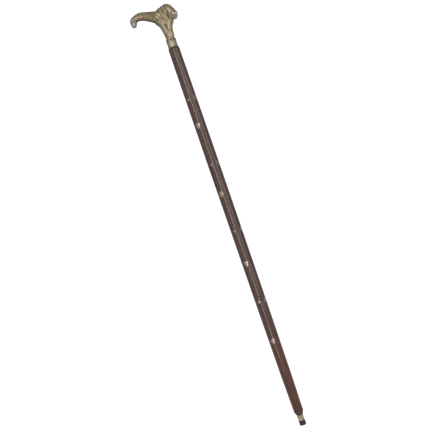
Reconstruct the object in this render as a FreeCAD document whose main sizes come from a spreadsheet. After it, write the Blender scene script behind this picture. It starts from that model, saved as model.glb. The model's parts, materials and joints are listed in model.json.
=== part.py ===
"""A walking stick: a cast brass lion's head handle on a turned hardwood shaft with brass inlays.

Millimetres. The origin is the centre of the rubber tip's flat underside. +Z runs up the shaft,
+X points the way the lion looks, and the grip reaches out to -X. Angles about the shaft are
counted from -Y, the side with the first leaves, towards +X.
"""

import FreeCAD
import Part
import Sketcher
import math
import os

Vector = FreeCAD.Vector

# The sheet of sizes, in millimetres
SIZES = {
    # rubber tip, from the ground up
    "rubber_height": 9.3,
    "rubber_radius": 6.8,
    "rubber_edge_round": 1.0,
    "rubber_stem_length": 5.0,
    # ferrule, the washer in it and the pin that holds it
    "ferrule_length": 12.4,
    "ferrule_radius": 6.6,
    "ferrule_wall": 1.2,
    "washer_thickness": 1.0,
    "ferrule_pin_radius": 0.8,
    "ferrule_pin_length": 3.5,
    # shaft, counted from the top of the ferrule
    "shaft_length": 801.3,
    "shaft_end_radius": 6.8,
    "shaft_end_bevel": 7.4,
    "shaft_foot_radius": 10.15,
    "shaft_knee_radius": 11.2,
    "shaft_waist_radius": 12.05,
    "shaft_belly_radius": 12.55,
    "shaft_upper_radius": 12.4,
    "shaft_top_radius": 12.0,
    "shaft_shoulder": 4.5,
    # collar and the ring above it
    "collar_height": 16.4,
    "collar_radius": 10.4,
    "collar_wall": 1.5,
    "collar_rim_height": 2.6,
    "collar_rim_bulge": 0.6,
    "neck_ring_height": 3.8,
    "neck_ring_radius": 9.1,
    "neck_ring_bulge": 0.7,
    # stud between the shaft and the handle
    "stud_radius": 4.0,
    "stud_length": 60.0,
    "stud_depth_in_shaft": 33.0,
    "stud_bevel": 0.8,
    # brass inlays
    "inlay_depth": 1.8,
    "leaf_width": 8.6,
    "leaf_length": 13.0,
    "dot_radius": 2.6,
    # handle
    "handle_height": 70.8,
    "neck_radius": 9.5,
    "grip_reach": 68.7,
    "grip_depth": 17.5,
    "grip_width": 16.0,
    "face_reach": 31.5,
    "head_width": 27.0,
    # fits
    "glue_gap": 0.05,
    "end_gap": 0.3,
    "cut_overrun": 3.0,
}

# Heights that several pieces share, each worked out from the sheet
FERRULE_TOP = "(Sizes.rubber_height + Sizes.ferrule_length)"
SHAFT_TOP = f"({FERRULE_TOP} + Sizes.shaft_length)"
SHOULDER = f"({SHAFT_TOP} - Sizes.shaft_shoulder)"
COLLAR_TOP = f"({SHAFT_TOP} + Sizes.collar_height)"
HANDLE_BASE = f"({COLLAR_TOP} + Sizes.neck_ring_height)"
WASHER_BASE = "(Sizes.rubber_height + Sizes.rubber_stem_length)"
WASHER_TOP = f"({WASHER_BASE} + Sizes.washer_thickness)"
FERRULE_BORE = "(Sizes.ferrule_radius - Sizes.ferrule_wall)"
LOWER_TENON = f"({FERRULE_BORE} - Sizes.glue_gap)"
UPPER_TENON = "(Sizes.collar_radius - Sizes.collar_wall)"
STUD_BASE = f"({COLLAR_TOP} - Sizes.stud_depth_in_shaft)"
STUD_TOP = f"({STUD_BASE} + Sizes.stud_length)"
STUD_HOLE = "(Sizes.stud_radius + Sizes.glue_gap)"

# Stations of the long taper: the share of the shaft's length, then the radius there
TAPER_SHARES = [
    (0.113, "Sizes.shaft_knee_radius"),
    (0.347, "Sizes.shaft_waist_radius"),
    (0.672, "Sizes.shaft_belly_radius"),
    (0.834, "Sizes.shaft_upper_radius"),
]

# Rings of inlays from the handle down: the share of the shaft's length, then the angle of the
# first leaf and of the first dot. A ring with no dots has None.
INLAY_RING_SHARES = [
    (0.8579, 57.0, -33.0),
    (0.7870, -22.0, None),
    (0.6807, 48.0, -20.0),
    (0.6016, -26.0, None),
    (0.5014, 60.0, -21.0),
    (0.4125, -16.0, None),
    (0.3095, 58.0, -21.0),
    (0.2030, -16.0, None),
]
INLAYS_ROUND_THE_SHAFT = 2

# A leaf's outline as shares of its length, above its middle, and of its width, from its midrib
LEAF_NOTCH_SHARE = 0.44
LEAF_WIDEST_SHARE = 0.14
LEAF_LOBE_SHARE = 0.40
LEAF_SIDE_SHARE = 0.90

# Sections up the neck above its round foot: height as a share of the handle's, the middle and half
# the length as shares of the face's reach, and half the thickness as a share of the head's width
NECK_SHARES = [
    (0.199, 0.005, 0.352, 0.385),
    (0.323, 0.030, 0.425, 0.400),
    (0.437, 0.054, 0.543, 0.415),
    (0.552, 0.000, 0.650, 0.420),
    (0.695, 0.150, 0.560, 0.420),
    (0.809, 0.260, 0.420, 0.380),
]

# Sections along the grip: the middle as shares of the grip's reach and of the handle's height,
# half the height and half the width as shares of the grip's own, and the lean in degrees
GRIP_SHARES = [
    (0.120, 0.704, 0.900, 0.500, 14.0),
    (0.288, 0.749, 0.700, 0.510, 16.5),
    (0.535, 0.842, 0.550, 0.500, 3.0),
    (0.658, 0.871, 0.492, 0.490, -2.0),
    (0.759, 0.865, 0.451, 0.460, -14.5),
    (0.840, 0.836, 0.446, 0.440, -33.0),
]
# The same where the grip's end curls down
GRIP_END_SHARES = [
    (0.891, 0.786, 0.440, 0.425, -52.0),
    (0.906, 0.721, 0.386, 0.400, -71.0),
    (0.897, 0.669, 0.310, 0.350, -90.0),
]

# Round masses of the head: the middle as shares of the face's reach, of the head's width and of
# the handle's height, then half the length, the depth and the width as shares of the handle's
# height, the face's reach and the head's width, and the lean in degrees
HEAD_SHARES = {
    "skull": (0.310, 0.0, 0.778, 0.221, 0.528, 0.500, 0.0),
    "face": (0.655, 0.0, 0.716, 0.221, 0.275, 0.375, -19.0),
    "muzzle": (0.734, 0.0, 0.608, 0.129, 0.268, 0.290, 0.0),
    "mane": (0.020, 0.0, 0.683, 0.267, 0.367, 0.545, -18.0),
    "back_lock": (-0.300, 0.0, 0.757, 0.157, 0.160, 0.480, -33.0),
    "throat_lock": (0.236, 0.0, 0.447, 0.184, 0.220, 0.475, 3.0),
    "left_ear": (0.380, 0.345, 0.903, 0.059, 0.095, 0.110, -10.0),
    "right_ear": (0.380, -0.345, 0.903, 0.059, 0.095, 0.110, -10.0),
}

# The bud that ends the grip, as shares of the grip's reach, the handle's height, then half its
# height, depth and width as shares of the grip's depth, depth and width
BUD_SHARES = (0.898, 0.675, 0.290, 0.325, 0.360)

POINTS_ROUND_A_SECTION = 8

doc = FreeCAD.newDocument("WalkingStick")
sheet = doc.addObject("Spreadsheet::Sheet", "Sizes")
for row, (alias, size) in enumerate(SIZES.items(), start=1):
    sheet.set(f"A{row}", alias)
    sheet.set(f"B{row}", str(size))
    sheet.setAlias(f"B{row}", alias)
doc.recompute()

parts = []


def number(expression):
    """The value of an expression of sheet sizes."""
    return float(sheet.evalExpression(expression))


def bind(item, sizes):
    """Bind properties of an object to expressions of sheet sizes."""
    for name, expression in sizes.items():
        item.setExpression(name, expression)


def keep(item, label):
    """Note a finished sub-part under the label that names its file."""
    item.Label = label
    parts.append(item)
    return item


def origin_plane(body, role):
    return next(plane for plane in body.Origin.OriginFeatures if plane.Role == role)


def limit(sketch, name, constraint, expression):
    """Add a driving constraint and bind it to the sheet."""
    index = sketch.addConstraint(constraint)
    sketch.renameConstraint(index, name)
    sketch.setExpression(f"Constraints.{name}", expression)


def arc_through(start, end, radius):
    """The shallow arc from start to end that bulges to the right of the way it runs."""
    along = end - start
    middle = (start + end) * 0.5
    side = Vector(along.y, -along.x, 0).normalize()
    rise = radius - math.sqrt(radius**2 - (along.Length / 2) ** 2)
    return Part.Arc(start, middle + side * rise, end)


def turned_body(name, corners, rounds=None):
    """A body turned about Z. Corners are (radius, height) expressions, anticlockwise in the
    half plane x > 0; rounds gives the radius of an arc that leaves a corner."""
    rounds = rounds or {}
    body = doc.addObject("PartDesign::Body", name)
    sketch = body.newObject("Sketcher::SketchObject", name + "_profile")
    sketch.AttachmentSupport = [(origin_plane(body, "XZ_Plane"), "")]
    sketch.MapMode = "FlatFace"
    points = [Vector(number(radius), number(height), 0) for radius, height in corners]
    for index, start in enumerate(points):
        end = points[(index + 1) % len(points)]
        if index in rounds:
            sketch.addGeometry(arc_through(start, end, number(rounds[index])))
        else:
            sketch.addGeometry(Part.LineSegment(start, end))
    # an arc runs anticlockwise in a sketch, as the corners do, so its start is its first point
    for index, (radius, height) in enumerate(corners):
        following = (index + 1) % len(corners)
        sketch.addConstraint(Sketcher.Constraint("Coincident", index, 2, following, 1))
        if radius == "0":
            sketch.addConstraint(Sketcher.Constraint("PointOnObject", index, 1, -2))
        else:
            across = Sketcher.Constraint("DistanceX", -1, 1, index, 1, points[index].x)
            limit(sketch, f"radius_{index}", across, radius)
        if height == "0":
            sketch.addConstraint(Sketcher.Constraint("PointOnObject", index, 1, -1))
        else:
            up = Sketcher.Constraint("DistanceY", -1, 1, index, 1, points[index].y)
            limit(sketch, f"height_{index}", up, height)
        if index in rounds:
            bend = Sketcher.Constraint("Radius", index, number(rounds[index]))
            limit(sketch, f"round_{index}", bend, rounds[index])
    revolution = body.newObject("PartDesign::Revolution", name + "_turned")
    revolution.Profile = sketch
    revolution.ReferenceAxis = (sketch, ["V_Axis"])
    revolution.Angle = 360
    doc.recompute()
    return body


def bulge_radius(height, bulge):
    """The radius of an arc over a chord, bulging at its middle."""
    return f"({height} ^ 2 / (8 * {bulge}) + {bulge} / 2)"


def tangent_radius(length, drop):
    """The radius of an arc that leaves a line along Z and has dropped by its end."""
    return f"(({length} ^ 2 + {drop} ^ 2) / (2 * {drop}))"


def taper_stations():
    """The (height, radius) expressions of the shaft's long taper, from its foot up."""
    foot = (f"({FERRULE_TOP} + Sizes.shaft_end_bevel)", "Sizes.shaft_foot_radius")
    between = [(f"({FERRULE_TOP} + Sizes.shaft_length * {share})", radius)
               for share, radius in TAPER_SHARES]
    return [foot] + between + [(SHOULDER, "Sizes.shaft_top_radius")]


def shaft_radius_at(height):
    """The shaft's radius at a height on its long taper."""
    stations = taper_stations()
    for (low, low_radius), (high, high_radius) in zip(stations, stations[1:]):
        if number(height) <= number(high):
            share = f"(({height} - {low}) / ({high} - {low}))"
            return f"({low_radius} + ({high_radius} - {low_radius}) * {share})"
    raise ValueError("the height is above the shaft's taper")


def rod(name, radius, length, base):
    """A plain cylinder up the axis."""
    cylinder = doc.addObject("Part::Cylinder", name)
    bind(cylinder, {"Radius": radius, "Height": length, "Placement.Base.z": base})
    return cylinder


def point_outwards(item, angle, distance, height):
    """Turn an object's own +Z to face out of the shaft at an angle, its +Y kept upright."""
    turn = FreeCAD.Rotation(Vector(0, 0, 1), angle) * FreeCAD.Rotation(Vector(1, 0, 0), 90)
    item.Placement = FreeCAD.Placement(Vector(), turn)
    places = {
        "Placement.Base.x": f"({distance}) * sin({angle} deg)",
        "Placement.Base.y": f"-({distance}) * cos({angle} deg)",
        "Placement.Base.z": height,
    }
    bind(item, places)


# Rubber tip: a head with a flat bottom and a rounded edge, and a stem pushed up into the ferrule
def make_rubber_tip():
    corners = [
        ("0", "0"),
        ("Sizes.rubber_radius - Sizes.rubber_edge_round", "0"),
        ("Sizes.rubber_radius", "Sizes.rubber_edge_round"),
        ("Sizes.rubber_radius", "Sizes.rubber_height"),
        (LOWER_TENON, "Sizes.rubber_height"),
        (LOWER_TENON, WASHER_BASE),
        ("0", WASHER_BASE),
    ]
    keep(turned_body("RubberTip", corners, {1: "Sizes.rubber_edge_round"}), "rubber_tip")


# Tip washer: keeps the end of the shaft from punching through the rubber
def make_tip_washer():
    washer = rod("TipWasher", LOWER_TENON, "Sizes.washer_thickness", WASHER_BASE)
    keep(washer, "tip_washer")


# Ferrule pin: a short brass pin at the back, filed flush with the ferrule
def pin_blank(name, radius, length):
    """A cylinder across the back of the ferrule, up to past its outside."""
    blank = doc.addObject("Part::Cylinder", name)
    bind(blank, {"Radius": radius, "Height": f"{length} + Sizes.cut_overrun"})
    middle = f"({WASHER_TOP} + {FERRULE_TOP}) / 2"
    point_outwards(blank, 180, f"Sizes.ferrule_radius - {length}", middle)
    return blank


def make_ferrule_pin():
    pin = doc.addObject("Part::Common", "FerrulePin")
    pin.Base = pin_blank("PinBlank", "Sizes.ferrule_pin_radius", "Sizes.ferrule_pin_length")
    pin.Tool = rod("FerruleOutside", "Sizes.ferrule_radius", "Sizes.ferrule_length",
                   "Sizes.rubber_height")
    keep(pin, "ferrule_pin")


def pin_hole(name):
    """The hole for the pin, a glue gap wider and an end gap deeper than it."""
    radius = "(Sizes.ferrule_pin_radius + Sizes.glue_gap)"
    return pin_blank(name, radius, "(Sizes.ferrule_pin_length + Sizes.end_gap)")


# Ferrule: the brass tube over the foot of the shaft
def make_ferrule():
    corners = [
        (FERRULE_BORE, "Sizes.rubber_height"),
        ("Sizes.ferrule_radius", "Sizes.rubber_height"),
        ("Sizes.ferrule_radius", FERRULE_TOP),
        (FERRULE_BORE, FERRULE_TOP),
    ]
    ferrule = doc.addObject("Part::Cut", "Ferrule")
    ferrule.Base = turned_body("FerruleTube", corners)
    ferrule.Tool = pin_hole("FerrulePinHole")
    keep(ferrule, "ferrule")


# Shaft: one turned length of hardwood, tenoned at both ends and bored for the stud
def make_shaft_blank():
    tenon = f"({UPPER_TENON} - Sizes.glue_gap)"
    tenon_top = f"({COLLAR_TOP} - Sizes.end_gap)"
    hole_base = f"({STUD_BASE} - Sizes.end_gap)"
    foot = [
        ("0", WASHER_TOP),
        (LOWER_TENON, WASHER_TOP),
        (LOWER_TENON, FERRULE_TOP),
        ("Sizes.shaft_end_radius", FERRULE_TOP),
    ]
    taper = [(radius, height) for height, radius in taper_stations()]
    top = [
        ("Sizes.collar_radius", SHAFT_TOP),
        (tenon, SHAFT_TOP),
        (tenon, tenon_top),
        (STUD_HOLE, tenon_top),
        (STUD_HOLE, hole_base),
        ("0", hole_base),
    ]
    shoulder = len(foot) + len(taper) - 1
    fall = "(Sizes.shaft_top_radius - Sizes.collar_radius)"
    rounds = {shoulder: tangent_radius("Sizes.shaft_shoulder", fall)}
    return turned_body("ShaftBlank", foot + taper + top, rounds)


# Inlays: brass leaves and dots let into the shaft, each with a pocket of its own
def leaf_outline(name, gap):
    """A heart-shaped leaf that points down, a gap larger than the leaf itself all round."""
    sketch = doc.addObject("Sketcher::SketchObject", name)
    half_width = f"(Sizes.leaf_width / 2 + {gap})"
    length = f"(Sizes.leaf_length + 2 * {gap})"
    notch = Vector(0, number(f"{length} * {LEAF_NOTCH_SHARE}"), 0)
    widest = Vector(number(half_width), number(f"{length} * {LEAF_WIDEST_SHARE}"), 0)
    far_side = Vector(-widest.x, widest.y, 0)
    tip = Vector(0, number(f"-{length} / 2"), 0)
    lobe = f"2 * {half_width} * {LEAF_LOBE_SHARE}"
    side = f"{length} * {LEAF_SIDE_SHARE}"
    outline = [(tip, widest, side), (widest, notch, lobe), (notch, far_side, lobe),
               (far_side, tip, side)]
    for index, (start, end, radius) in enumerate(outline):
        sketch.addGeometry(arc_through(start, end, number(radius)))
        bend = Sketcher.Constraint("Radius", index, number(radius))
        limit(sketch, f"round_{index}", bend, radius)
    for index in range(len(outline)):
        following = (index + 1) % len(outline)
        sketch.addConstraint(Sketcher.Constraint("Coincident", index, 2, following, 1))
    sketch.addConstraint(Sketcher.Constraint("PointOnObject", 0, 1, -2))
    sketch.addConstraint(Sketcher.Constraint("PointOnObject", 1, 2, -2))
    sketch.addConstraint(Sketcher.Constraint("Symmetric", 0, 2, 2, 2, -2))
    across = Sketcher.Constraint("DistanceX", -1, 1, 0, 2, widest.x)
    limit(sketch, "half_width", across, half_width)
    rise = Sketcher.Constraint("DistanceY", -1, 1, 0, 2, widest.y)
    limit(sketch, "widest", rise, f"{length} * {LEAF_WIDEST_SHARE}")
    dip = Sketcher.Constraint("DistanceY", -1, 1, 1, 2, notch.y)
    limit(sketch, "notch", dip, f"{length} * {LEAF_NOTCH_SHARE}")
    point = Sketcher.Constraint("DistanceY", 0, 1, -1, 1, -tip.y)
    limit(sketch, "point", point, f"{length} / 2")
    doc.recompute()
    return sketch


def dot_outline(name, gap):
    """A round outline, a gap larger than the dot itself all round."""
    sketch = doc.addObject("Sketcher::SketchObject", name)
    radius = f"(Sizes.dot_radius + {gap})"
    sketch.addGeometry(Part.Circle(Vector(), Vector(0, 0, 1), number(radius)))
    sketch.addConstraint(Sketcher.Constraint("Coincident", 0, 3, -1, 1))
    bend = Sketcher.Constraint("Radius", 0, number(radius))
    limit(sketch, "round", bend, radius)
    doc.recompute()
    return sketch


def inlay_prism(name, outline, angle, height):
    """An outline pushed out of the shaft from the floor of its pocket."""
    prism = doc.addObject("Part::Extrusion", name)
    prism.Base = outline
    prism.DirMode = "Custom"
    prism.Dir = Vector(0, 0, 1)
    prism.Solid = True
    bind(prism, {"LengthFwd": "Sizes.inlay_depth + Sizes.cut_overrun"})
    floor = f"{shaft_radius_at(height)} - Sizes.inlay_depth"
    point_outwards(prism, angle, floor, height)
    return prism


def make_inlays(blank):
    """All the inlays, flush with the shaft, and the prisms that cut their pockets."""
    shapes = {
        "leaf": (leaf_outline("LeafOutline", "0"), leaf_outline("LeafPocket", "Sizes.glue_gap")),
        "dot": (dot_outline("DotOutline", "0"), dot_outline("DotPocket", "Sizes.glue_gap")),
    }
    pockets = []
    for ring, (height_share, leaf_angle, dot_angle) in enumerate(INLAY_RING_SHARES, start=1):
        height = f"({FERRULE_TOP} + Sizes.shaft_length * {height_share})"
        for kind, first_angle in (("leaf", leaf_angle), ("dot", dot_angle)):
            if first_angle is None:
                continue
            for turn in range(INLAYS_ROUND_THE_SHAFT):
                angle = first_angle + 360 * turn / INLAYS_ROUND_THE_SHAFT
                name = f"{kind}_inlay_{ring}{'ab'[turn]}"
                outline, pocket_outline = shapes[kind]
                inlay = doc.addObject("Part::Common", name)
                inlay.Base = inlay_prism(name + "_prism", outline, angle, height)
                inlay.Tool = blank
                keep(inlay, name)
                pockets.append(inlay_prism(name + "_pocket", pocket_outline, angle, height))
    return pockets


def make_shaft_and_inlays():
    blank = make_shaft_blank()
    hollows = doc.addObject("Part::Compound", "ShaftHollows")
    hollows.Links = make_inlays(blank) + [pin_hole("TenonPinHole")]
    shaft = doc.addObject("Part::Cut", "Shaft")
    shaft.Base = blank
    shaft.Tool = hollows
    keep(shaft, "shaft")


# Collar: the brass tube over the top tenon, with a rounded rim at its upper end
def make_collar():
    rim_base = f"({COLLAR_TOP} - Sizes.collar_rim_height)"
    corners = [
        (UPPER_TENON, SHAFT_TOP),
        ("Sizes.collar_radius", SHAFT_TOP),
        ("Sizes.collar_radius", rim_base),
        ("Sizes.collar_radius", COLLAR_TOP),
        (UPPER_TENON, COLLAR_TOP),
    ]
    rounds = {2: bulge_radius("Sizes.collar_rim_height", "Sizes.collar_rim_bulge")}
    keep(turned_body("Collar", corners, rounds), "collar")


# Neck ring: the bead between the collar and the handle, threaded on the stud
def make_neck_ring():
    corners = [
        (STUD_HOLE, COLLAR_TOP),
        ("Sizes.neck_ring_radius", COLLAR_TOP),
        ("Sizes.neck_ring_radius", HANDLE_BASE),
        (STUD_HOLE, HANDLE_BASE),
    ]
    rounds = {1: bulge_radius("Sizes.neck_ring_height", "Sizes.neck_ring_bulge")}
    keep(turned_body("NeckRing", corners, rounds), "neck_ring")


# Handle stud: the steel rod that joins the handle to the shaft
def make_handle_stud():
    corners = [
        ("0", STUD_BASE),
        ("Sizes.stud_radius - Sizes.stud_bevel", STUD_BASE),
        ("Sizes.stud_radius", f"{STUD_BASE} + Sizes.stud_bevel"),
        ("Sizes.stud_radius", f"{STUD_TOP} - Sizes.stud_bevel"),
        ("Sizes.stud_radius - Sizes.stud_bevel", STUD_TOP),
        ("0", STUD_TOP),
    ]
    keep(turned_body("HandleStud", corners), "handle_stud")


# Handle: neck, grip and head cast in one, with a blind socket for the stud
def oval(name, half_length, half_width, x, z, lean):
    """A closed curve across the casting, through points spaced round an ellipse. Its long way
    leans about Y from the vertical by an angle: 90 degrees lays it level, along +X."""
    section = doc.addObject("Part::Feature", name)
    length, width = number(half_length), number(half_width)
    points = []
    for step in range(POINTS_ROUND_A_SECTION):
        turn = 2 * math.pi * step / POINTS_ROUND_A_SECTION
        points.append(Vector(0, width * math.sin(turn), length * math.cos(turn)))
    curve = Part.BSplineCurve()
    curve.interpolate(points, PeriodicFlag=True)
    section.Shape = Part.Wire(curve.toShape())
    spin = FreeCAD.Rotation(Vector(0, 1, 0), lean)
    section.Placement = FreeCAD.Placement(Vector(), spin)
    bind(section, {"Placement.Base.x": x, "Placement.Base.z": z})
    return section


def loft(name, sections):
    body = doc.addObject("Part::Loft", name)
    body.Sections = sections
    body.Solid = True
    body.Ruled = False
    return body


def make_neck():
    radius = "Sizes.neck_radius"
    sections = [oval("NeckFoot", radius, radius, "0", HANDLE_BASE, 90)]
    for index, (rise, middle, half_length, half_width) in enumerate(NECK_SHARES, start=1):
        long_way = f"Sizes.face_reach * {half_length}"
        short_way = f"Sizes.head_width * {half_width}"
        x = f"Sizes.face_reach * {middle}"
        z = f"{HANDLE_BASE} + Sizes.handle_height * {rise}"
        sections.append(oval(f"NeckSection{index}", long_way, short_way, x, z, 90))
    return loft("Neck", sections)


def grip_sections(name, shares):
    sections = []
    for index, (reach, rise, half_height, half_width, lean) in enumerate(shares):
        long_way = f"Sizes.grip_depth * {half_height}"
        short_way = f"Sizes.grip_width * {half_width}"
        x = f"-Sizes.grip_reach * {reach}"
        z = f"{HANDLE_BASE} + Sizes.handle_height * {rise}"
        sections.append(oval(f"{name}Section{index}", long_way, short_way, x, z, lean))
    return sections


def make_grip():
    """The grip in two lofts that share a section, because one would turn through too much."""
    straight = grip_sections("Grip", GRIP_SHARES)
    curl = [straight[-1]] + grip_sections("GripEnd", GRIP_END_SHARES)
    return [loft("Grip", straight), loft("GripEnd", curl)]


def round_mass(name, half_height, half_depth, half_width, x, y, z, lean):
    """An ellipsoid, leaned about Y."""
    mass = doc.addObject("Part::Ellipsoid", name)
    mass.Angle1 = -90
    mass.Angle2 = 90
    mass.Angle3 = 360
    # a quarter turn puts the seam on the side, clear of the seams of the neck and grip
    turn = FreeCAD.Rotation(Vector(0, 1, 0), lean) * FreeCAD.Rotation(Vector(0, 0, 1), 90)
    mass.Placement = FreeCAD.Placement(Vector(), turn)
    sizes = {"Radius1": half_height, "Radius2": half_width, "Radius3": half_depth}
    places = {"Placement.Base.x": x, "Placement.Base.y": y, "Placement.Base.z": z}
    bind(mass, {**sizes, **places})
    return mass


def make_head():
    masses = []
    for name, (x, y, z, half_height, half_depth, half_width, lean) in HEAD_SHARES.items():
        masses.append(round_mass(
            name,
            f"Sizes.handle_height * {half_height}",
            f"Sizes.face_reach * {half_depth}",
            f"Sizes.head_width * {half_width}",
            f"Sizes.face_reach * {x}",
            f"Sizes.head_width * {y}",
            f"{HANDLE_BASE} + Sizes.handle_height * {z}",
            lean,
        ))
    return masses


def make_bud():
    x, z, half_height, half_depth, half_width = BUD_SHARES
    return round_mass(
        "Bud",
        f"Sizes.grip_depth * {half_height}",
        f"Sizes.grip_depth * {half_depth}",
        f"Sizes.grip_width * {half_width}",
        f"-Sizes.grip_reach * {x}",
        "0",
        f"{HANDLE_BASE} + Sizes.handle_height * {z}",
        0,
    )


def make_handle():
    casting = make_neck()
    for mass in make_grip() + [make_bud()] + make_head():
        joined = doc.addObject("Part::Fuse", "With" + mass.Name)
        joined.Base = casting
        joined.Tool = mass
        casting = joined
    socket_depth = f"({STUD_TOP} - {HANDLE_BASE} + Sizes.end_gap)"
    socket = rod("StudSocket", STUD_HOLE, f"{socket_depth} + Sizes.cut_overrun",
                 f"{HANDLE_BASE} - Sizes.cut_overrun")
    handle = doc.addObject("Part::Cut", "Handle")
    handle.Base = casting
    handle.Tool = socket
    keep(handle, "handle")


def write_parts():
    """Check every object of the document, then write each sub-part to its own file."""
    doc.recompute()
    for item in doc.Objects:
        if {"Invalid", "Error"} & set(item.State):
            raise RuntimeError(f"{item.Label} failed: {item.State}")
    for item in parts:
        if item.Shape.isNull() or not item.Shape.isValid():
            raise RuntimeError(f"{item.Label} has no valid shape")
        if len(item.Shape.Solids) != 1:
            raise RuntimeError(f"{item.Label} is {len(item.Shape.Solids)} solids, not one")
    os.makedirs("parts", exist_ok=True)
    for item in parts:
        item.Shape.exportStep(f"parts/{item.Label}.step")
        print(item.Label, round(item.Shape.Volume, 1), "mm3")


make_rubber_tip()
make_tip_washer()
make_ferrule_pin()
make_ferrule()
make_shaft_and_inlays()
make_collar()
make_neck_ring()
make_handle_stud()
make_handle()
write_parts()
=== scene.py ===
# %% [markdown]
# # A walking stick with a cast brass lion's head
#
# The stick is a turned hardwood shaft with brass leaves and dots let into it, a brass collar and
# ring, a cast brass handle and a rubber foot. The construction is already there as a fixed frame:
# every solid sits at its real place and size. This lesson dresses it. The turned and fitted pieces
# keep their solids and only get a finish, while the handle, which a modeller would carve in wax
# before the metal is poured, is sculpted anew round its own solid.

import json
import math

import bmesh
import bpy
import numpy as np
from mathutils import Matrix, Vector, noise
from mathutils.bvhtree import BVHTree
from mathutils.kdtree import KDTree


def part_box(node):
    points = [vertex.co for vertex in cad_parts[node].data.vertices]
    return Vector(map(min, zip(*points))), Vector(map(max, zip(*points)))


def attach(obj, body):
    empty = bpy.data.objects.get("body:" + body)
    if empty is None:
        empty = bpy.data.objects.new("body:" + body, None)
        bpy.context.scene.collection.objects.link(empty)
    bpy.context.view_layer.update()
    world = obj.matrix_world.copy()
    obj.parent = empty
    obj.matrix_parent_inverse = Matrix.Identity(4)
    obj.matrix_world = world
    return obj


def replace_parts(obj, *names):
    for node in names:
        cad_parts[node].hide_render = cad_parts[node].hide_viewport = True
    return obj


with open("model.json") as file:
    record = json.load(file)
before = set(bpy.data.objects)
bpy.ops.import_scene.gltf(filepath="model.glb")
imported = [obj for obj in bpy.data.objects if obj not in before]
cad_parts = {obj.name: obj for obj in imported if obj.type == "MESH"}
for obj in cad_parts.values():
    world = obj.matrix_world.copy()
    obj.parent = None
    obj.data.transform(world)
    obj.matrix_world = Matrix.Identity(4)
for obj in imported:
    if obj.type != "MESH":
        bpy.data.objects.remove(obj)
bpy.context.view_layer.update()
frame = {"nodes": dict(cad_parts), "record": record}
nodes = frame["nodes"]
MM = 0.001

# %% [markdown]
# ## The camera
#
# The photograph was taken square to the flat side of the handle, with the stick leaning across
# the picture. The stick itself stands upright here, so the lean goes into the camera's roll. One
# point of the picture that lies on the shaft's axis, the lean, and one scale tie it to the frame.

# %% Camera from the photograph
PHOTO_PIXELS = 430
PIXEL_SIZE = 2.064 * MM
SHAFT_LEAN = math.radians(19.0)
AXIS_POINT_PIXEL = (174.8, 51.5)
AXIS_POINT_HEIGHT = 814.25 * MM
CAMERA_DISTANCE = 1.517


def upright(pixel):
    """The place in the frame's XZ plane that a pixel of the photograph shows."""
    right, down = (pixel[i] - AXIS_POINT_PIXEL[i] for i in range(2))
    along = right * math.sin(SHAFT_LEAN) + down * math.cos(SHAFT_LEAN)
    across = right * math.cos(SHAFT_LEAN) - down * math.sin(SHAFT_LEAN)
    return Vector((across * PIXEL_SIZE, 0, AXIS_POINT_HEIGHT - along * PIXEL_SIZE))


middle = upright((PHOTO_PIXELS / 2, PHOTO_PIXELS / 2))
camera_data = bpy.data.cameras.new("camera")
camera_data.angle = 2 * math.atan(PHOTO_PIXELS * PIXEL_SIZE / 2 / CAMERA_DISTANCE)
camera = bpy.data.objects.new("camera", camera_data)
level = Matrix.Rotation(math.radians(90), 4, "X")
roll = Matrix.Rotation(SHAFT_LEAN, 4, "Y")
camera.matrix_world = Matrix.Translation(middle - Vector((0, CAMERA_DISTANCE, 0))) @ roll @ level
bpy.context.scene.collection.objects.link(camera)
bpy.context.scene.camera = camera
print("camera at", [round(c, 3) for c in camera.location], "angle", round(camera_data.angle, 3))

# %% [markdown]
# ## Small tools for materials
#
# Colours are written as the hex values that a painter would pick on a screen, and one function
# turns them into the linear numbers that the shaders use. Another adds a node, sets its values and
# links its inputs in one line, and a few short ones name what finishes are made of: noise of a true
# size, a glaze, a relief. With them a material reads like a list of its layers.


# %% Colour and node helpers
def linear(hex_colour):
    """The linear colour of an sRGB hex value."""
    channels = [int(hex_colour[i:i + 2], 16) / 255 for i in (1, 3, 5)]
    return tuple(c / 12.92 if c <= 0.04045 else ((c + 0.055) / 1.055) ** 2.4
                 for c in channels) + (1.0,)


def feed(tree, node, **inputs):
    """Give a node its inputs, by name or as i0, i1 and on. A socket is linked, a value set."""
    for name, value in inputs.items():
        key = int(name[1:]) if name[0] == "i" and name[1:].isdigit() else name.replace("_", " ")
        if isinstance(value, bpy.types.NodeSocket):
            tree.links.new(value, node.inputs[key])
        else:
            node.inputs[key].default_value = value


def add(tree, kind, settings=None, **inputs):
    """Add a node. Settings are its own properties, and the inputs are fed to it."""
    node = tree.nodes.new(kind)
    for name, value in (settings or {}).items():
        setattr(node, name, value)
    feed(tree, node, **inputs)
    return node


def maths(tree, operation, *values, clamped=False):
    """The result of an operation on values or sockets."""
    inputs = {f"i{index}": value for index, value in enumerate(values)}
    settings = {"operation": operation, "use_clamp": clamped}
    return add(tree, "ShaderNodeMath", settings, **inputs).outputs[0]


def mix(tree, share, first, second, kind="MIX"):
    """The second colour laid over the first by a share, with MULTIPLY as a glaze that darkens."""
    return add(tree, "ShaderNodeMix", {"data_type": "RGBA", "blend_type": kind}, i0=share,
               i6=first, i7=second).outputs[2]


def ramp(tree, factor, stops):
    """A colour ramp through (position, hex colour) stops."""
    node = add(tree, "ShaderNodeValToRGB", i0=factor)
    elements = node.color_ramp.elements
    while len(elements) < len(stops):
        elements.new(0.5)
    for element, (position, colour) in zip(elements, stops):
        element.position = position
        element.color = linear(colour)
    return node.outputs["Color"]


def new_material(name):
    """An empty material and its Principled shader, already on the output."""
    material = bpy.data.materials.new(name)
    material.use_nodes = True
    tree = material.node_tree
    return material, tree, tree.nodes["Principled BSDF"]


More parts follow.
